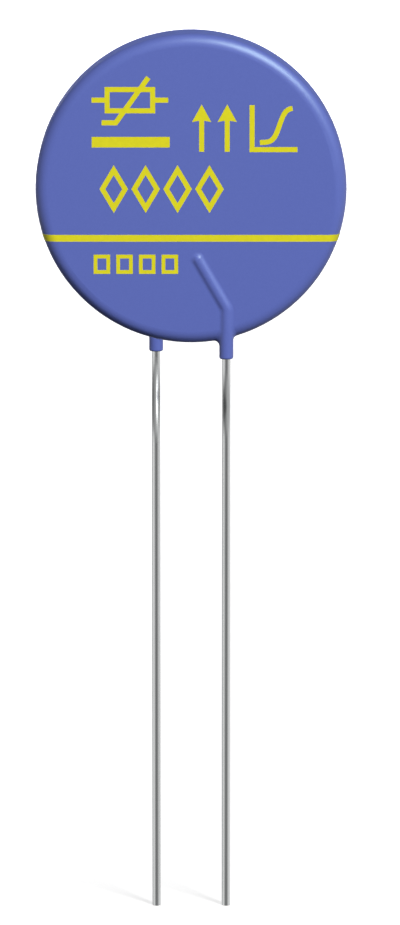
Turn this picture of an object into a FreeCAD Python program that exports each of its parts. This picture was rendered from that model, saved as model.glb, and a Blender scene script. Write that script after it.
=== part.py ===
"""A radial leaded PTC thermistor: a dipped ceramic disc on two tinned copper leads, in millimetres.

The part stands upright in its own frame. The leads run down along -Z and their cut ends lie at z = 0,
with the origin midway between them. The front face looks towards -Y, with the front lead at +X. The rear
half is the front half turned half way round the Z axis.
"""

import FreeCAD
import Part
import Sketcher
import math
import os
from FreeCAD import Placement, Rotation, Vector

# Driving dimensions in millimetres, and one angle in degrees
SIZES = (
    ("ceramic_diameter", 20.6),
    ("ceramic_thickness", 3.0),
    ("ceramic_chamfer", 0.2),
    ("electrode_margin", 0.4),
    ("electrode_thickness", 0.03),
    ("solder_film", 0.04),
    ("solder_length", 3.4),
    ("solder_width", 1.4),
    ("solder_rise", 0.52),
    ("lead_diameter", 0.6),
    ("lead_pitch", 5.0),
    ("lead_length", 40.2),
    ("collar_length", 1.1),
    ("knee_rise", 2.5),
    ("knee_radius", 0.9),
    ("slant_length", 4.05),
    ("slant_angle", 30.0),
    ("collar_edge_round", 0.12),
    ("jog_start", 0.4),
    ("jog_radius", 5.2),
    ("coating_thickness", 0.7),
    ("coating_edge_round", 0.85),
    ("lead_skin", 0.2),
    ("bead_fillet", 0.44),
)

# Lengths that follow from the driving dimensions
# The disc's lowest point is its rim, and the knee's height is counted from there.
ELECTRODE_FACE = "(Sizes.ceramic_thickness / 2 + Sizes.electrode_thickness)"
LEAD_OFFSET = f"({ELECTRODE_FACE} + Sizes.solder_film + Sizes.lead_diameter / 2)"
DISC_RADIUS = "(Sizes.ceramic_diameter / 2 + Sizes.coating_thickness)"
RIM_HEIGHT = "(Sizes.lead_length + Sizes.collar_length)"
DISC_HEIGHT = f"({RIM_HEIGHT} + {DISC_RADIUS})"
KNEE_HEIGHT = f"({RIM_HEIGHT} + Sizes.knee_rise)"
BEAD_RADIUS = "(Sizes.lead_diameter / 2 + Sizes.lead_skin)"
SLANT_X = "(Sizes.lead_pitch / 2 - {} * sin(Sizes.slant_angle * 1 deg))"
SLANT_Z = f"({KNEE_HEIGHT} + {{}} * cos(Sizes.slant_angle * 1 deg))"
TOUCHING = 1e-4

doc = FreeCAD.newDocument("ptc_thermistor")
sheet = doc.addObject("Spreadsheet::Sheet", "Sizes")
for row, (name, value) in enumerate(SIZES, start=1):
    sheet.set(f"A{row}", name)
    sheet.set(f"B{row}", str(value))
    sheet.setAlias(f"B{row}", name)
doc.recompute()


def size(name):
    """The value of one driving dimension."""
    return float(sheet.get(name))


def lead_offset():
    """Distance of a lead's axis from the middle plane, where it lies on the electrode."""
    electrode_face = size("ceramic_thickness") / 2 + size("electrode_thickness")
    return electrode_face + size("solder_film") + size("lead_diameter") / 2


def half_turn(obj, rear):
    """Turns a piece of the rear half round the Z axis."""
    if rear:
        obj.Placement = Placement(Vector(), Rotation(Vector(0, 0, 1), 180))


def new_body(name):
    body = doc.addObject("PartDesign::Body", name)
    body.Label = name
    return body


def new_sketch(body, name, role, offset=None):
    """A sketch on one of the body's own origin planes, moved along that plane's normal by an expression."""
    sketch = body.newObject("Sketcher::SketchObject", name)
    plane = next(f for f in body.Origin.OriginFeatures if f.Role == role)
    sketch.AttachmentSupport = [(plane, "")]
    sketch.MapMode = "FlatFace"
    if offset:
        sketch.setExpression("AttachmentOffset.Base.z", offset)
    return sketch


def bind(sketch, expression, kind, *where):
    """Adds a dimension to a sketch and ties it to an expression."""
    index = sketch.addConstraint(Sketcher.Constraint(kind, *where))
    sketch.setExpression(f"Constraints[{index}]", expression)


def add_circle(sketch, radius, value):
    """A circle on the sketch's origin, its radius bound to an expression."""
    circle = sketch.addGeometry(Part.Circle(Vector(), Vector(0, 0, 1), value))
    sketch.addConstraint(Sketcher.Constraint("Coincident", circle, 3, -1, 1))
    bind(sketch, radius, "Radius", circle, value)


def disc(name, radius, radius_value, half_thickness, dressing, dressing_size, amount):
    """A flat disc on the Y axis at the disc's height, its two rims dressed with a fillet or a chamfer."""
    body = new_body(name)
    outline = new_sketch(body, f"{name}_outline", "XZ_Plane", half_thickness)
    add_circle(outline, radius, radius_value)
    pad = body.newObject("PartDesign::Pad", f"{name}_pad")
    pad.Profile = outline
    pad.Reversed = True
    pad.setExpression("Length", f"2 * {half_thickness}")
    doc.recompute()
    rims = [f"Edge{i}" for i, e in enumerate(pad.Shape.Edges, start=1) if isinstance(e.Curve, Part.Circle)]
    edges = body.newObject(f"PartDesign::{dressing}", f"{name}_rims")
    edges.Base = (pad, rims)
    edges.setExpression(dressing_size, amount)
    body.setExpression("Placement.Base.z", DISC_HEIGHT)
    return body


def electrode(name, rear):
    """A thin metal layer on one face of the ceramic."""
    body = new_body(name)
    outline = new_sketch(body, f"{name}_outline", "XZ_Plane", "Sizes.ceramic_thickness / 2")
    radius = size("ceramic_diameter") / 2 - size("electrode_margin")
    add_circle(outline, "Sizes.ceramic_diameter / 2 - Sizes.electrode_margin", radius)
    pad = body.newObject("PartDesign::Pad", f"{name}_pad")
    pad.Profile = outline
    pad.setExpression("Length", "Sizes.electrode_thickness")
    half_turn(body, rear)
    body.setExpression("Placement.Base.z", DISC_HEIGHT)
    return body


def face_route(body, name):
    """The lead's line on the face: a slanted run, the knee, and a straight run down to the collar's end."""
    sketch = new_sketch(body, name, "XZ_Plane", LEAD_OFFSET)
    x = size("lead_pitch") / 2
    knee = Vector(x, size("lead_length") + size("collar_length") + size("knee_rise"), 0)
    lean = math.radians(size("slant_angle"))
    up = Vector(-math.sin(lean), math.cos(lean), 0)
    tip = knee + up * size("slant_length")
    setback = size("knee_radius") * math.tan(lean / 2)
    centre = Vector(x - size("knee_radius"), knee.y - setback, 0)
    arc = Part.ArcOfCircle(Part.Circle(centre, Vector(0, 0, 1), size("knee_radius")), 0, lean)
    slant = sketch.addGeometry(Part.LineSegment(tip, knee + up * setback))
    bend = sketch.addGeometry(arc)
    end = Vector(x, size("lead_length"), 0)
    drop = sketch.addGeometry(Part.LineSegment(knee - Vector(0, setback, 0), end))
    corner = sketch.addGeometry(Part.Point(knee), True)
    sketch.addConstraint(Sketcher.Constraint("Tangent", slant, 2, bend, 2))
    sketch.addConstraint(Sketcher.Constraint("Tangent", bend, 1, drop, 1))
    sketch.addConstraint(Sketcher.Constraint("PointOnObject", corner, 1, slant))
    sketch.addConstraint(Sketcher.Constraint("PointOnObject", corner, 1, drop))
    sketch.addConstraint(Sketcher.Constraint("Vertical", drop))
    bind(sketch, "Sizes.knee_radius", "Radius", bend, size("knee_radius"))
    bind(sketch, "Sizes.lead_pitch / 2", "DistanceX", -1, 1, drop, 2, x)
    bind(sketch, "Sizes.lead_length", "DistanceY", -1, 1, drop, 2, end.y)
    bind(sketch, KNEE_HEIGHT, "DistanceY", -1, 1, corner, 1, knee.y)
    bind(sketch, "Sizes.slant_length", "Distance", slant, 1, corner, 1, size("slant_length"))
    bind(sketch, "Sizes.slant_angle * 1 deg - 90 deg", "Angle", slant, lean - math.pi / 2)
    return sketch


def side_route(body, name):
    """The lead's line below the collar: two equal arcs back to the middle plane, then straight down."""
    sketch = new_sketch(body, name, "YZ_Plane", "Sizes.lead_pitch / 2")
    radius, inset = size("jog_radius"), lead_offset()
    collar_end = size("lead_length")
    top = collar_end - size("jog_start")
    turn = math.acos(1 - inset / (2 * radius))
    foot = Vector(0, top - 2 * radius * math.sin(turn), 0)
    centre_in, centre_out = Vector(radius - inset, top, 0), Vector(-radius, foot.y, 0)
    normal = Vector(0, 0, 1)
    stub = sketch.addGeometry(Part.LineSegment(Vector(-inset, collar_end, 0), Vector(-inset, top, 0)))
    arc_in = Part.ArcOfCircle(Part.Circle(centre_in, normal, radius), math.pi, math.pi + turn)
    arc_out = Part.ArcOfCircle(Part.Circle(centre_out, normal, radius), 0, turn)
    bend_in, bend_out = sketch.addGeometry(arc_in), sketch.addGeometry(arc_out)
    drop = sketch.addGeometry(Part.LineSegment(foot, Vector()))
    sketch.addConstraint(Sketcher.Constraint("Tangent", stub, 2, bend_in, 1))
    sketch.addConstraint(Sketcher.Constraint("Tangent", bend_in, 2, bend_out, 2))
    sketch.addConstraint(Sketcher.Constraint("Tangent", bend_out, 1, drop, 1))
    sketch.addConstraint(Sketcher.Constraint("Vertical", stub))
    sketch.addConstraint(Sketcher.Constraint("Vertical", drop))
    sketch.addConstraint(Sketcher.Constraint("Equal", bend_in, bend_out))
    sketch.addConstraint(Sketcher.Constraint("Coincident", drop, 2, -1, 1))
    bind(sketch, "Sizes.jog_radius", "Radius", bend_in, radius)
    bind(sketch, LEAD_OFFSET, "DistanceX", stub, 1, -1, 1, inset)
    bind(sketch, "Sizes.lead_length", "DistanceY", -1, 1, stub, 1, collar_end)
    bind(sketch, "Sizes.jog_start", "DistanceY", stub, 2, stub, 1, size("jog_start"))
    return sketch


def add_pipe(body, name, section, route):
    """Sweeps the round section along a route."""
    pipe = body.newObject("PartDesign::AdditivePipe", name)
    pipe.Profile = section
    pipe.Spine = (route, [f"Edge{i}" for i in range(1, len(route.Shape.Edges) + 1)])
    return pipe


def round_section(body, name, radius, value):
    """The wire's round section, level with the collar's end."""
    section = new_sketch(body, name, "XY_Plane", "Sizes.lead_length")
    section.setExpression("AttachmentOffset.Base.x", "Sizes.lead_pitch / 2")
    section.setExpression("AttachmentOffset.Base.y", f"-{LEAD_OFFSET}")
    add_circle(section, radius, value)
    return section


def lead(name, rear):
    """One tinned wire, from its end under the bead on the face to its cut end at z = 0."""
    body = new_body(name)
    section = round_section(body, f"{name}_section", "Sizes.lead_diameter / 2", size("lead_diameter") / 2)
    upper, lower = face_route(body, f"{name}_face_route"), side_route(body, f"{name}_side_route")
    doc.recompute()
    add_pipe(body, f"{name}_upper", section, upper)
    add_pipe(body, f"{name}_lower", section, lower)
    half_turn(body, rear)
    return body


def bead(name, rear):
    """The tube of resin round a lead, from its rounded tip on the face to the end of the collar."""
    body = new_body(name)
    radius = size("lead_diameter") / 2 + size("lead_skin")
    section = round_section(body, f"{name}_section", BEAD_RADIUS, radius)
    route = face_route(body, f"{name}_route")
    doc.recompute()
    add_pipe(body, f"{name}_tube", section, route)
    tip = body.newObject("PartDesign::AdditiveSphere", f"{name}_tip")
    plane = next(f for f in body.Origin.OriginFeatures if f.Role == "XY_Plane")
    tip.AttachmentSupport = [(plane, "")]
    tip.MapMode = "FlatFace"
    tip.setExpression("Radius", BEAD_RADIUS)
    tip.setExpression("AttachmentOffset.Base.x", SLANT_X.format("Sizes.slant_length"))
    tip.setExpression("AttachmentOffset.Base.y", f"-{LEAD_OFFSET}")
    tip.setExpression("AttachmentOffset.Base.z", SLANT_Z.format("Sizes.slant_length"))
    half_turn(body, rear)
    return body


def solder_joint(name, rear, wire):
    """A long dome of solder on the electrode, half way up the slanted run, with the wire lying in it."""
    dome = doc.addObject("Part::Ellipsoid", f"{name}_dome")
    dome.setExpression("Radius1", "Sizes.solder_rise")
    dome.setExpression("Radius2", "Sizes.solder_length / 2")
    dome.setExpression("Radius3", "Sizes.solder_width / 2")
    dome.Angle1 = 0
    side = 1 if rear else -1
    lean = Rotation(Vector(0, 1, 0), 90 + size("slant_angle"))
    facing = Rotation(Vector(1, 0, 0), 90)
    turned = Rotation(Vector(0, 0, 1), 180 if rear else 0)
    dome.Placement = Placement(Vector(), turned * lean * facing)
    dome.setExpression("Placement.Base.x", f"{-side} * " + SLANT_X.format("Sizes.slant_length / 2"))
    dome.setExpression("Placement.Base.y", f"{side} * {ELECTRODE_FACE}")
    dome.setExpression("Placement.Base.z", SLANT_Z.format("Sizes.slant_length / 2"))
    joint = doc.addObject("Part::Cut", name)
    joint.Label = name
    joint.Base = dome
    joint.Tool = wire
    return joint


def touches(edge, shape):
    """Whether the whole edge lies on the surface of a shape."""
    points = [Part.Vertex(p) for p in edge.discretize(5)]
    return all(shell.distToShape(p)[0] < TOUCHING for shell in shape.Shells for p in points)


def coating(form, disc_form, beads, held):
    """The resin skin: its outer form, filleted where the beads leave the disc, less what it holds."""
    blends = []
    for i, edge in enumerate(form.Shape.Edges, start=1):
        on_bead = any(touches(edge, b.Shape) for b in beads)
        if on_bead and touches(edge, disc_form.Shape):
            blends.append((i, size("bead_fillet"), size("bead_fillet")))
        elif on_bead and abs(edge.BoundBox.ZMax - size("lead_length")) < TOUCHING:
            blends.append((i, size("collar_edge_round"), size("collar_edge_round")))
    rounded = doc.addObject("Part::Fillet", "rounded_form")
    rounded.Base = form
    rounded.Edges = blends
    skin = doc.addObject("Part::Cut", "resin_coating")
    skin.Label = "resin_coating"
    skin.Base = rounded
    skin.Tool = held
    return skin


def fused(name, pieces):
    """Several shapes as one solid."""
    union = doc.addObject("Part::MultiFuse", name)
    union.Shapes = pieces
    return union


def build():
    """Makes every piece and returns those that are written out."""
    radius = size("ceramic_diameter") / 2
    half = "Sizes.ceramic_thickness / 2"
    ceramic = disc(
        "ceramic_disc", "Sizes.ceramic_diameter / 2", radius, half, "Chamfer", "Size", "Sizes.ceramic_chamfer"
    )
    electrodes = [electrode("front_electrode", False), electrode("rear_electrode", True)]
    leads = [lead("front_lead", False), lead("rear_lead", True)]
    doc.recompute()
    joints = [
        solder_joint("front_solder_joint", False, leads[0]),
        solder_joint("rear_solder_joint", True, leads[1]),
    ]
    radius += size("coating_thickness")
    half = f"({half} + Sizes.coating_thickness)"
    disc_form = disc("coated_disc", DISC_RADIUS, radius, half, "Fillet", "Radius", "Sizes.coating_edge_round")
    beads = [bead("front_bead", False), bead("rear_bead", True)]
    form = fused("coated_form", [disc_form, *beads])
    held = fused("held_pieces", [ceramic, *electrodes, *leads, *joints])
    doc.recompute()
    skin = coating(form, disc_form, beads, held)
    doc.recompute()
    return [skin, ceramic, *electrodes, *joints, *leads]


def check(nodes):
    """Stops if any object failed, or if a piece isn't one sound solid."""
    for obj in doc.Objects:
        if {"Invalid", "Error"} & set(obj.State):
            raise SystemExit(f"{obj.Label} failed to build")
    for node in nodes:
        shape = node.Shape
        if shape.isNull() or not shape.isValid() or len(shape.Solids) != 1:
            raise SystemExit(f"{node.Label} isn't one sound solid")


nodes = build()
check(nodes)
os.makedirs("parts", exist_ok=True)
for node in nodes:
    node.Shape.exportStep(f"parts/{node.Label}.step")
    print(f"{node.Label}: {node.Shape.Volume:.3f} cubic millimetres")
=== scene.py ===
import math

import bmesh
import bpy
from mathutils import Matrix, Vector


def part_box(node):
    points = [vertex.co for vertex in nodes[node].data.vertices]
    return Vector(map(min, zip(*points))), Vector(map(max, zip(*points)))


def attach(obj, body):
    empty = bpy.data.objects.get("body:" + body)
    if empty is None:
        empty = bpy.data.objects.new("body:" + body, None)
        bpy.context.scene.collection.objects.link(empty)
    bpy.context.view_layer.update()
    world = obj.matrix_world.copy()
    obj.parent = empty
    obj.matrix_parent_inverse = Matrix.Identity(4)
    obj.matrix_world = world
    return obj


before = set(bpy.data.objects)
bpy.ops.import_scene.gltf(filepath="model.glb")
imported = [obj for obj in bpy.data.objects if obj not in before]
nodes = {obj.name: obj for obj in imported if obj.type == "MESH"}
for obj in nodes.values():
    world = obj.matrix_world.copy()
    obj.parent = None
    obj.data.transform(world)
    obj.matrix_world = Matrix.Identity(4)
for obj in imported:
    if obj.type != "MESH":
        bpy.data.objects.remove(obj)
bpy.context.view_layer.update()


# Ceramic disc
# The heart of the part is a disc of doped barium titanate, pressed from powder and sintered. It is
# sealed in the resin. Sintering leaves a dark, dull, finely grained face.

MM = 0.001
# A Mix node's colour sockets go by number, because its other kinds of socket share their names.
MIX_A, MIX_B, MIXED = 6, 7, 2


def linear(code):
    """An sRGB hex colour as the linear colour that the shaders take."""
    channels = [int(code[i:i + 2], 16) / 255 for i in (1, 3, 5)]
    return tuple(c / 12.92 if c <= 0.04045 else ((c + 0.055) / 1.055) ** 2.4 for c in channels) + (1.0,)


def node(tree, kind, inputs=None, **settings):
    """Adds a node to a tree, with its settings, and sets or links its inputs."""
    made = tree.nodes.new(kind)
    for name, value in settings.items():
        setattr(made, name, value)
    for socket, value in (inputs or {}).items():
        if isinstance(value, bpy.types.NodeSocket):
            tree.links.new(value, made.inputs[socket])
        else:
            made.inputs[socket].default_value = value
    return made


def finish(name, build):
    """A material whose surface comes from build(tree), which returns a shader socket."""
    material = bpy.data.materials.new(name)
    material.use_nodes = True
    tree = material.node_tree
    tree.nodes.clear()
    node(tree, "ShaderNodeOutputMaterial", {"Surface": build(tree)})
    return material


def sintered_titanate(tree):
    # Grains of about 0.05 mm show as a faint speckle and as a dull, rough skin.
    grain_size, grain_depth = 0.05 * MM, 0.004 * MM
    place = node(tree, "ShaderNodeTexCoord").outputs["Object"]
    grain = node(tree, "ShaderNodeTexNoise", {"Vector": place, "Scale": 1 / grain_size, "Detail": 3.0})
    tone = node(tree, "ShaderNodeMix", {"Factor": grain.outputs["Fac"], MIX_A: linear("#3C3835"),
                                        MIX_B: linear("#57514C")}, data_type="RGBA")
    bump = node(tree, "ShaderNodeBump", {"Height": grain.outputs["Fac"], "Strength": 0.4,
                                         "Distance": grain_depth})
    return node(tree, "ShaderNodeBsdfPrincipled",
                {"Base Color": tone.outputs[MIXED], "Roughness": 0.75, "IOR": 2.4,
                 "Normal": bump.outputs["Normal"]}).outputs["BSDF"]


nodes["ceramic_disc"].material_slots[0].material = finish("Sintered titanate ceramic", sintered_titanate)


# Electrodes
# Each face of the ceramic carries a film of silver paste, screened on and fired. It reaches almost to
# the edge. A fired film stays dull.

def fired_silver(tree):
    # The screen leaves patches of about 0.4 mm that differ a little in gloss.
    patch_size = 0.4 * MM
    place = node(tree, "ShaderNodeTexCoord").outputs["Object"]
    patches = node(tree, "ShaderNodeTexNoise", {"Vector": place, "Scale": 1 / patch_size, "Detail": 4.0})
    rough = node(tree, "ShaderNodeMapRange", {"Value": patches.outputs["Fac"],
                                              "To Min": 0.42, "To Max": 0.6})
    return node(tree, "ShaderNodeBsdfPrincipled",
                {"Base Color": linear("#D8D6D0"), "Metallic": 1.0,
                 "Roughness": rough.outputs["Result"]}).outputs["BSDF"]


silver = finish("Fired silver film", fired_silver)
for name in ("front_electrode", "rear_electrode"):
    nodes[name].material_slots[0].material = silver


# Solder joints
# A long dome of tin solder holds each lead to its electrode. It froze from the melt, so it is smooth
# and bright, with a faint frost.

def frozen_solder(tree):
    # The frost is crystals of about 0.15 mm, which differ in gloss.
    crystal_size = 0.15 * MM
    place = node(tree, "ShaderNodeTexCoord").outputs["Object"]
    frost = node(tree, "ShaderNodeTexNoise", {"Vector": place, "Scale": 1 / crystal_size, "Detail": 2.0})
    rough = node(tree, "ShaderNodeMapRange", {"Value": frost.outputs["Fac"],
                                              "To Min": 0.18, "To Max": 0.38})
    return node(tree, "ShaderNodeBsdfPrincipled",
                {"Base Color": linear("#C9CACB"), "Metallic": 1.0,
                 "Roughness": rough.outputs["Result"]}).outputs["BSDF"]


solder = finish("Frozen tin solder", frozen_solder)
for name in ("front_solder_joint", "rear_solder_joint"):
    nodes[name].material_slots[0].material = solder


# Leads
# The two leads are soft copper wire, drawn, hot tinned and then bent to shape. The tin is bright, with
# faint lines along the wire from the wiping die. The lower ends were cut after tinning.

def tinned_wire(tree):
    # The die lines are about 0.03 mm apart round the wire and 3 mm long, and show as a slightly uneven
    # gloss. The faces of the lower ends, at the very foot, show the copper.
    line_gap, line_length, line_depth = 0.03 * MM, 3 * MM, 0.002 * MM
    cut_height = 0.004 * MM
    place = node(tree, "ShaderNodeTexCoord").outputs["Object"]
    stretched = node(tree, "ShaderNodeMapping",
                     {"Vector": place, "Scale": (1 / line_gap, 1 / line_gap, 1 / line_length)})
    lines = node(tree, "ShaderNodeTexNoise", {"Vector": stretched.outputs["Vector"], "Scale": 1.0,
                                              "Detail": 2.0})
    rough = node(tree, "ShaderNodeMapRange", {"Value": lines.outputs["Fac"],
                                              "To Min": 0.16, "To Max": 0.24})
    bump = node(tree, "ShaderNodeBump", {"Height": lines.outputs["Fac"], "Strength": 0.15,
                                         "Distance": line_depth})
    height = node(tree, "ShaderNodeSeparateXYZ", {"Vector": place}).outputs["Z"]
    cut = node(tree, "ShaderNodeMath", {0: height, 1: cut_height}, operation="LESS_THAN")
    tone = node(tree, "ShaderNodeMix", {"Factor": cut.outputs["Value"], MIX_A: linear("#D4D6D6"),
                                        MIX_B: linear("#C98A66")}, data_type="RGBA")
    return node(tree, "ShaderNodeBsdfPrincipled",
                {"Base Color": tone.outputs[MIXED], "Metallic": 1.0, "Roughness": rough.outputs["Result"],
                 "Normal": bump.outputs["Normal"]}).outputs["BSDF"]


tin = finish("Hot tinned copper wire", tinned_wire)
for name in ("front_lead", "rear_lead"):
    nodes[name].material_slots[0].material = tin


# Resin coating
# The finished disc is dipped in a blue filled resin and cured. The resin runs smooth over the rims and
# over the bent leads, creeps a little way down the wires, and sets with a satin gloss.

def dipped_resin(tree):
    # A very slight orange peel of about 1.1 mm bends the gloss, and filler grains of about 0.12 mm make
    # the blue and the gloss a little uneven.
    peel_size, peel_depth, filler_size = 1.1 * MM, 0.01 * MM, 0.12 * MM
    place = node(tree, "ShaderNodeTexCoord").outputs["Object"]
    peel = node(tree, "ShaderNodeTexNoise", {"Vector": place, "Scale": 1 / peel_size, "Detail": 2.0})
    filler = node(tree, "ShaderNodeTexNoise", {"Vector": place, "Scale": 1 / filler_size, "Detail": 3.0})
    tone = node(tree, "ShaderNodeMix", {"Factor": filler.outputs["Fac"], MIX_A: linear("#5664AE"),
                                        MIX_B: linear("#5C6AB4")}, data_type="RGBA")
    # The outside of the rim, within 1.1 mm of the middle plane, dries a little duller than the faces.
    dull_to, dull_end = 1.1 * MM, 1.6 * MM
    depth = node(tree, "ShaderNodeSeparateXYZ", {"Vector": place}).outputs["Y"]
    from_middle = node(tree, "ShaderNodeMath", {0: depth}, operation="ABSOLUTE")
    dull = node(tree, "ShaderNodeMapRange", {"Value": from_middle.outputs["Value"], "From Min": dull_to,
                                             "From Max": dull_end, "To Min": 0.22, "To Max": 0.0})
    satin = node(tree, "ShaderNodeMapRange", {"Value": filler.outputs["Fac"],
                                              "To Min": 0.37, "To Max": 0.43})
    rough = node(tree, "ShaderNodeMath", {0: satin.outputs["Result"], 1: dull.outputs["Result"]},
                 operation="ADD")
    bump = node(tree, "ShaderNodeBump", {"Height": peel.outputs["Fac"], "Strength": 0.25,
                                         "Distance": peel_depth})
    return node(tree, "ShaderNodeBsdfPrincipled",
                {"Base Color": tone.outputs[MIXED], "Roughness": rough.outputs["Value"], "IOR": 1.5,
                 "Normal": bump.outputs["Normal"]}).outputs["BSDF"]


coating = nodes["resin_coating"]
coating.material_slots[0].material = finish("Dipped blue resin", dipped_resin)


# Yellow print
# A band and a few plain marks are pad printed on the cured resin in yellow ink, and the pad lays the
# band over the round of the rim at both ends. The film is about 0.02 mm thick and a little uneven.

def printing_ink(tree):
    # Ink laid by a soft pad is thinner in patches of about 0.3 mm, where the blue below dulls it a little.
    patch_size = 0.3 * MM
    place = node(tree, "ShaderNodeTexCoord").outputs["Object"]
    cover = node(tree, "ShaderNodeTexNoise", {"Vector": place, "Scale": 1 / patch_size, "Detail": 3.0})
    tone = node(tree, "ShaderNodeMix", {"Factor": cover.outputs["Fac"], MIX_A: linear("#D2CB26"),
                                        MIX_B: linear("#E0D928")}, data_type="RGBA")
    rough = node(tree, "ShaderNodeMapRange", {"Value": cover.outputs["Fac"],
                                              "To Min": 0.42, "To Max": 0.52})
    return node(tree, "ShaderNodeBsdfPrincipled",
                {"Base Color": tone.outputs[MIXED], "Roughness": rough.outputs["Result"], "IOR": 1.5,
                 "Specular IOR Level": 0.45}).outputs["BSDF"]


ink = finish("Pad printed yellow ink", printing_ink)
low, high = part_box("resin_coating")
disc_radius = (high.x - low.x) / 2
disc_centre = Vector(((low.x + high.x) / 2, 0, high.z - disc_radius))
in_front = Vector((0, -20 * MM, disc_centre.z))
_, face_point, _, _ = coating.ray_cast(in_front, Vector((0, 1, 0)))
face_y = face_point.y
edge_round = 0.85 * MM
# The film stands proud of the resin, and its back is sunk into it a little, so that no gap shows.
film = 0.02 * MM
sunk = 0.01 * MM


def add_piece(name, points, faces):
    """A closed mesh piece of ink with its faces turned outwards, from corners in metres."""
    mesh = bpy.data.meshes.new(name)
    mesh.from_pydata(points, [], faces)
    shell = bmesh.new()
    shell.from_mesh(mesh)
    bmesh.ops.recalc_face_normals(shell, faces=shell.faces)
    shell.to_mesh(mesh)
    shell.free()
    mesh.materials.append(ink)
    piece = bpy.data.objects.new(name, mesh)
    bpy.context.scene.collection.objects.link(piece)
    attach(piece, "root")


def add_film(points, faces, outline):
    """Adds the prism of an outline on the disc's face, given in mm from the disc's centre."""
    first = len(points)
    count = len(outline)
    for y in (face_y - film, face_y + sunk):
        points.extend((disc_centre.x + x * MM, y, disc_centre.z + up * MM) for x, up in outline)
    faces.append([first + i for i in range(count)])
    faces.append([first + count + i for i in reversed(range(count))])
    for i in range(count):
        j = (i + 1) % count
        faces.append([first + j, first + i, first + count + i, first + count + j])


def add_sides(faces, a, b):
    """Adds the four sides of a run of line, between the sections whose four corners start at a and b."""
    faces.extend([(a, a + 1, b + 1, b), (a + 2, b + 2, b + 3, a + 3), (a, b, b + 2, a + 2),
                  (a + 1, a + 3, b + 3, b + 1)])


def add_ends(faces, a, b):
    """Closes a line at its first section, which starts at a, and at its last, which starts at b."""
    faces.extend([(a, a + 2, a + 3, a + 1), (b, b + 1, b + 3, b + 2)])


def add_line(points, faces, route, width, proud=film, closed=False):
    """Adds a line of ink that follows a route of straight runs, with mitred corners."""
    first = len(points)
    count = len(route)
    corners = [Vector(corner) for corner in route]
    for i, here in enumerate(corners):
        runs = []
        if closed or i > 0:
            runs.append((here - corners[i - 1]).normalized())
        if closed or i < count - 1:
            runs.append((corners[(i + 1) % count] - here).normalized())
        along = sum(runs, Vector((0, 0))).normalized()
        across = Vector((-along.y, along.x))
        first_side = Vector((-runs[0].y, runs[0].x))
        reach = width / 2 / abs(across.dot(first_side))
        for y in (face_y - proud, face_y + sunk):
            for x, up in (here + across * reach, here - across * reach):
                points.append((disc_centre.x + x * MM, y, disc_centre.z + up * MM))
    for i in range(count if closed else count - 1):
        add_sides(faces, first + 4 * i, first + 4 * ((i + 1) % count))
    if not closed:
        add_ends(faces, first, first + 4 * (count - 1))


# The band crosses the whole face at a third of its height and ends on the outside of the rim. Its
# sections turn round the right edge, 4 degrees at a time, cross the face and turn round the left edge.
band_top, band_foot = -3.21 * MM, -3.69 * MM
flat_radius = disc_radius - edge_round
turns = [math.radians(degree) for degree in range(0, 100, 4)]
stations = [(1, turn) for turn in reversed(turns)] + [(-1, turn) for turn in turns]
points, faces = [], []
for side, turn in stations:
    outwards, forwards = math.sin(turn), math.cos(turn)
    ring = flat_radius + edge_round * outwards
    inward = edge_round * (1 - forwards)
    for proud in (film, -sunk):
        for up in (band_top, band_foot):
            out = math.sqrt(ring ** 2 - up ** 2)
            normal = Vector((side * outwards * out / ring, -forwards, outwards * up / ring))
            surface = Vector((side * out, face_y + inward, up))
            points.append(disc_centre + surface + normal * proud)
last = 4 * (len(stations) - 1)
for start in range(0, last, 4):
    add_sides(faces, start, start + 4)
add_ends(faces, 0, last)
add_piece("ink_band", points, faces)

# Upper left: the circuit symbol of a resistor that depends on temperature, over a plain bar. The slash
# of the symbol lies a little higher than the lines that it crosses.
pen = 0.36
left, right, foot, top = -5.9, -2.7, 5.6, 7.1
middle, tail = 6.35, 1.1
points, faces = [], []
add_line(points, faces, [(left, foot), (right, foot), (right, top), (left, top)], pen, closed=True)
add_line(points, faces, [(left - tail, middle), (left - pen / 2, middle)], pen)
add_line(points, faces, [(right + pen / 2, middle), (right + tail, middle)], pen)
add_piece("ink_symbol", points, faces)
points, faces = [], []
add_line(points, faces, [(-6.3, 4.75), (-5.3, 4.75), (-3.0, 7.95)], pen, proud=film * 1.3)
add_piece("ink_symbol_slash", points, faces)
left, right, foot, top = -7.0, -1.5, 3.0, 3.75
points, faces = [], []
add_film(points, faces, [(left, foot), (right, foot), (right, top), (left, top)])
add_piece("ink_bar", points, faces)

# Upper right: two arrows that point up, and a curve that rises steeply between two axes.
half, wing, foot, neck, tip = pen / 2, 0.68, 2.7, 4.9, 6.05
barb = neck - 0.1
points, faces = [], []
for x in (0.75, 2.55):
    add_film(points, faces, [(x - half, foot), (x + half, foot), (x + half, neck), (x + wing, barb),
                             (x, tip), (x - wing, barb), (x - half, neck)])
add_piece("ink_arrows", points, faces)
points, faces = [], []
add_line(points, faces, [(4.3, 6.0), (4.3, 2.85), (7.5, 2.85)], pen)
add_piece("ink_axes", points, faces)
left, foot, span, rise, steepness, middle = 4.85, 3.35, 2.3, 2.45, 11, 0.6
curve = []
for step in range(21):
    share = step / 20
    curve.append((left + span * share, foot + rise / (1 + math.exp(-steepness * (share - middle)))))
points, faces = [], []
add_line(points, faces, curve, pen)
add_piece("ink_curve", points, faces)

# Middle: four outlined rhombs in a row.
half, foot, middle, top = 0.8, -1.3, 0.05, 1.4
points, faces = [], []
for x in (-5.45, -3.2, -0.95, 1.3):
    add_line(points, faces, [(x - half, middle), (x, foot), (x + half, middle), (x, top)],
             pen, closed=True)
add_piece("ink_rhombs", points, faces)

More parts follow.
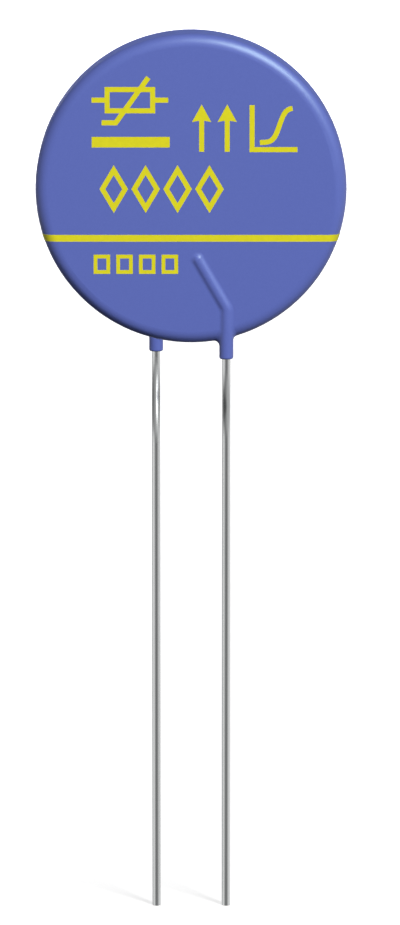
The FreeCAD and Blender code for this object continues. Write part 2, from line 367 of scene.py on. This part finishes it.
# Below the band: four small squares, drawn with a finer pen.
fine_pen = pen * 0.75
half, foot, top = 0.45, -5.85, -4.75
points, faces = [], []
for x in (-6.3, -4.7, -3.1, -1.5):
    add_line(points, faces, [(x - half, foot), (x + half, foot), (x + half, top), (x - half, top)],
             fine_pen, closed=True)
add_piece("ink_squares", points, faces)


# Floor, lamps and camera
# The part stands on a white floor. A soft lamp high on the right in front lights it, weaker ones light
# its back and its left, one gives the floor its faint shadow, and one adds the gleam on the resin.

def white_floor(tree):
    # The camera sees white, darkened by the shadow. The lamps light the floor near the part, so its own
    # glow is weaker there. Bounced light finds a dull grey, so the underside of the disc stays dark.
    near, far = 0.06, 0.5
    rays = node(tree, "ShaderNodeLightPath")
    place = node(tree, "ShaderNodeTexCoord").outputs["Object"]
    away = node(tree, "ShaderNodeVectorMath", {0: place}, operation="LENGTH").outputs["Value"]
    level = node(tree, "ShaderNodeMapRange", {"Value": away, "From Min": near, "From Max": far,
                                              "To Min": 0.7, "To Max": 1.0})
    glow = node(tree, "ShaderNodeEmission", {"Color": linear("#FFFFFF"),
                                             "Strength": level.outputs["Result"]})
    paint = node(tree, "ShaderNodeBsdfDiffuse", {"Color": linear("#E4E4E4")})
    bright = node(tree, "ShaderNodeAddShader", {0: glow.outputs["Emission"], 1: paint.outputs["BSDF"]})
    dull = node(tree, "ShaderNodeBsdfDiffuse", {"Color": linear("#202020")})
    return node(tree, "ShaderNodeMixShader", {0: rays.outputs["Is Diffuse Ray"],
                                              1: bright.outputs["Shader"],
                                              2: dull.outputs["BSDF"]}).outputs["Shader"]


# The floor reaches 6 m each way, further than any view shows.
reach = 6.0
mesh = bpy.data.meshes.new("floor")
mesh.from_pydata([(-reach, -reach, 0), (reach, -reach, 0), (reach, reach, 0), (-reach, reach, 0)], [],
                 [(0, 1, 2, 3)])
mesh.materials.append(finish("White studio floor", white_floor))
floor = bpy.data.objects.new("floor", mesh)
bpy.context.scene.collection.objects.link(floor)
floor.visible_glossy = False


def grey(level):
    """A neutral linear colour."""
    return (level, level, level, 1.0)


def in_patch(tree, way, middle, core, edge):
    """How far a direction lies in a soft round patch: 1 within core degrees of its middle, 0 past edge."""
    toward = node(tree, "ShaderNodeVectorMath", {0: way, 1: Vector(middle).normalized()},
                  operation="DOT_PRODUCT")
    return node(tree, "ShaderNodeMapRange", {"Value": toward.outputs["Value"],
                                             "From Min": math.cos(math.radians(edge)),
                                             "From Max": math.cos(math.radians(core))}).outputs["Result"]


def studio_round(tree, way):
    """What the part mirrors round it: white at both sides, grey behind and a dark card in front."""
    # The compass runs from the left (0) through the front (0.25), the right (0.5) and the back (0.75).
    # Each stop is a place on it and a level of grey.
    stops = ((0.0, 1.0), (0.09, 0.95), (0.14, 0.6), (0.2, 0.28), (0.27, 0.18), (0.33, 0.28), (0.39, 0.55),
             (0.45, 0.85), (0.55, 0.95), (0.64, 0.9), (0.71, 0.65), (0.77, 0.45), (0.84, 0.55),
             (0.94, 0.62), (1.0, 1.0))
    compass = node(tree, "ShaderNodeTexGradient", {"Vector": way}, gradient_type="RADIAL")
    ramp = node(tree, "ShaderNodeValToRGB", {"Fac": compass.outputs["Fac"]})
    for at, level in stops:
        stop = ramp.color_ramp.elements.new(at)
        stop.color = grey(level)
    # The two stops that a new ramp has go.
    ramp.color_ramp.elements.remove(ramp.color_ramp.elements[-1])
    ramp.color_ramp.elements.remove(ramp.color_ramp.elements[0])
    # Steeply below lies the ground, dimmer on the left, with a dark patch almost straight down.
    axes = node(tree, "ShaderNodeSeparateXYZ", {"Vector": way}).outputs
    below = node(tree, "ShaderNodeMapRange", {"Value": axes["Z"], "From Min": -0.25, "From Max": -0.6})
    ground = node(tree, "ShaderNodeMapRange", {"Value": axes["X"], "From Min": -0.4, "From Max": 0.6,
                                               "To Min": 0.25, "To Max": 0.55})
    lower = node(tree, "ShaderNodeMix", {"Factor": below.outputs["Result"], MIX_A: ramp.outputs["Color"],
                                         MIX_B: ground.outputs["Result"]}, data_type="RGBA")
    dark = in_patch(tree, way, (-0.33, 0.19, -0.92), core=22, edge=45)
    lower = node(tree, "ShaderNodeMix", {"Factor": dark, MIX_A: lower.outputs[MIXED], MIX_B: grey(0.08)},
                 data_type="RGBA")
    # Above, the room is dim on the left and behind, and brighter on the right.
    side = node(tree, "ShaderNodeMapRange", {"Value": axes["X"], "From Min": -1.0, "From Max": 1.0,
                                             "To Min": 0.3, "To Max": 0.8})
    back = node(tree, "ShaderNodeMapRange", {"Value": axes["Y"], "From Min": -0.3, "From Max": 0.6,
                                             "To Min": 1.0, "To Max": 0.2})
    upper = node(tree, "ShaderNodeMath", {0: side.outputs["Result"], 1: back.outputs["Result"]},
                 operation="MULTIPLY")
    above = node(tree, "ShaderNodeMapRange", {"Value": axes["Z"], "From Min": -0.1, "From Max": 0.15})
    room = node(tree, "ShaderNodeMix", {"Factor": above.outputs["Result"], MIX_A: lower.outputs[MIXED],
                                        MIX_B: upper.outputs["Value"]}, data_type="RGBA")
    # High on the right in front hangs the soft sheet of the main lamp.
    lit = in_patch(tree, way, (0.42, -0.58, 0.70), core=10, edge=30)
    return node(tree, "ShaderNodeMix", {"Factor": lit, MIX_A: room.outputs[MIXED], MIX_B: grey(2.2)},
                data_type="RGBA").outputs[MIXED]


# The camera sees a white sky, mirrors see the studio, and the sky adds almost no light of its own.
world = bpy.data.worlds.new("Studio")
bpy.context.scene.world = world
world.use_nodes = True
tree = world.node_tree
tree.nodes.clear()
way = node(tree, "ShaderNodeTexCoord").outputs["Generated"]
rays = node(tree, "ShaderNodeLightPath").outputs
mirrored = node(tree, "ShaderNodeMath", {0: rays["Is Glossy Ray"], 1: rays["Is Transmission Ray"]},
                operation="MAXIMUM")
room = node(tree, "ShaderNodeMix", {"Factor": mirrored.outputs["Value"], MIX_A: grey(0.015),
                                    MIX_B: studio_round(tree, way)}, data_type="RGBA")
seen = node(tree, "ShaderNodeMix", {"Factor": rays["Is Camera Ray"], MIX_A: room.outputs[MIXED],
                                    MIX_B: linear("#FFFFFF")}, data_type="RGBA")
sky = node(tree, "ShaderNodeBackground", {"Color": seen.outputs[MIXED], "Strength": 1.0})
node(tree, "ShaderNodeOutputWorld", {"Surface": sky.outputs["Background"]})


def add_lamp(name, tilt, clock, level, distance=0.6, width=0.3, height=0.3):
    """A soft lamp aimed at the disc, its direction tilted in degrees from the disc's front towards a
    place on the clock, in degrees from the top. A white sheet that squarely faces it at the disc
    renders at the level."""
    lean, turn = math.radians(tilt), math.radians(clock)
    direction = Vector((math.sin(lean) * math.sin(turn), -math.cos(lean), math.sin(lean) * math.cos(turn)))
    light = bpy.data.lights.new(name, "AREA")
    light.shape = "RECTANGLE"
    light.size, light.size_y = width, height
    light.energy = (math.pi * distance) ** 2 * level
    lamp = bpy.data.objects.new(name, light)
    lamp.location = disc_centre + direction * distance
    lamp.rotation_mode = "QUATERNION"
    lamp.rotation_quaternion = (-direction).to_track_quat("-Z", "Y")
    lamp.visible_camera = False
    bpy.context.scene.collection.objects.link(lamp)
    return lamp


def link_lamp(lamp, group, target, state):
    """Makes a lamp light one object alone, in the state INCLUDE, or all but that one, in EXCLUDE."""
    receivers = bpy.data.collections.new(group)
    receivers.objects.link(target)
    receivers.collection_objects[0].light_linking.link_state = state
    lamp.light_linking.receiver_collection = receivers


# The main lamp lights the part without shadow, and a lamp for the floor alone casts the faint one.
key = add_lamp("key_lamp", tilt=41, clock=30, level=1.37)
key.data.use_shadow = False
link_lamp(key, "all_but_floor", floor, "EXCLUDE")
shade = add_lamp("floor_lamp", tilt=41, clock=48, level=0.65, width=0.15, height=0.15)
link_lamp(shade, "takes_shadow", floor, "INCLUDE")

# The gleam along the upper rim comes from a slightly green lamp that only the resin mirrors.
gleam = add_lamp("gleam_lamp", tilt=60, clock=32, level=1.78, width=0.38, height=0.38)
gleam.data.color = linear("#E2FFE2")[:3]
gleam.visible_diffuse = False
gleam.data.use_shadow = False
link_lamp(gleam, "takes_gleam", coating, "INCLUDE")

# The main lamp and the weaker ones aren't mirrored, because the world holds what is mirrored.
back_lamp = add_lamp("back_lamp", tilt=150, clock=275, level=0.8)
left_fill = add_lamp("left_fill", tilt=125, clock=270, level=0.15)
rear_fill = add_lamp("rear_fill", tilt=175, clock=0, level=0.25, distance=0.8, width=0.6, height=0.2)
for lamp in (key, back_lamp, left_fill, rear_fill):
    lamp.visible_glossy = False

# The camera looks slightly down on the part through a long lens, as the photograph does.
camera_elevation = math.radians(9.655)
camera_distance = 451.3 * MM
camera_aim = Vector((0.634, 0, 32.416)) * MM
camera_back = Vector((0, -math.cos(camera_elevation), math.sin(camera_elevation)))
lens = bpy.data.cameras.new("camera")
lens.lens = 246.0
lens.sensor_width = 36.0
lens.clip_start = 0.01
lens.clip_end = 50.0
camera = bpy.data.objects.new("camera", lens)
camera.location = camera_aim + camera_back * camera_distance
camera.rotation_mode = "QUATERNION"
camera.rotation_quaternion = (-camera_back).to_track_quat("-Z", "Y")
bpy.context.scene.collection.objects.link(camera)
bpy.context.scene.camera = camera
bpy.context.scene.view_settings.view_transform = "Standard"
